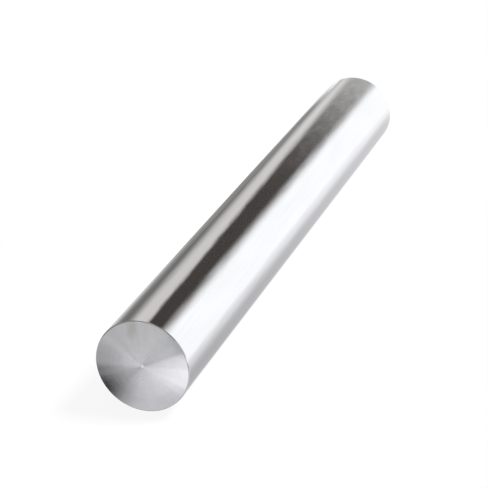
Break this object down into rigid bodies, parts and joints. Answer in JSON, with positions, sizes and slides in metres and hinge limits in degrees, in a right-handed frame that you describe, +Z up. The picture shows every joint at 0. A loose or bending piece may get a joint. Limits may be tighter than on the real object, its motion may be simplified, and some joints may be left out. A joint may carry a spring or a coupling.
{
  "type": "round metal bar",
  "caption": "Solid round bar of bright ground steel, cut to length, with square turned ends and a small edge break at each rim.",
  "frame": {"origin": "on the bar's axis, halfway along the bar; the bar rests on its lowest line, 25 mm below", "axes": "+X along the bar's axis, +Y level across it, +Z up"},
  "size_m": [0.4, 0.05, 0.05],
  "materials": {
    "bright_steel": "bright ground side with a soft mirror sheen, fine turned rings on both end faces"
  },
  "bodies": {
    "root": {"round_bar": "bright_steel"}
  },
  "joints": []
}
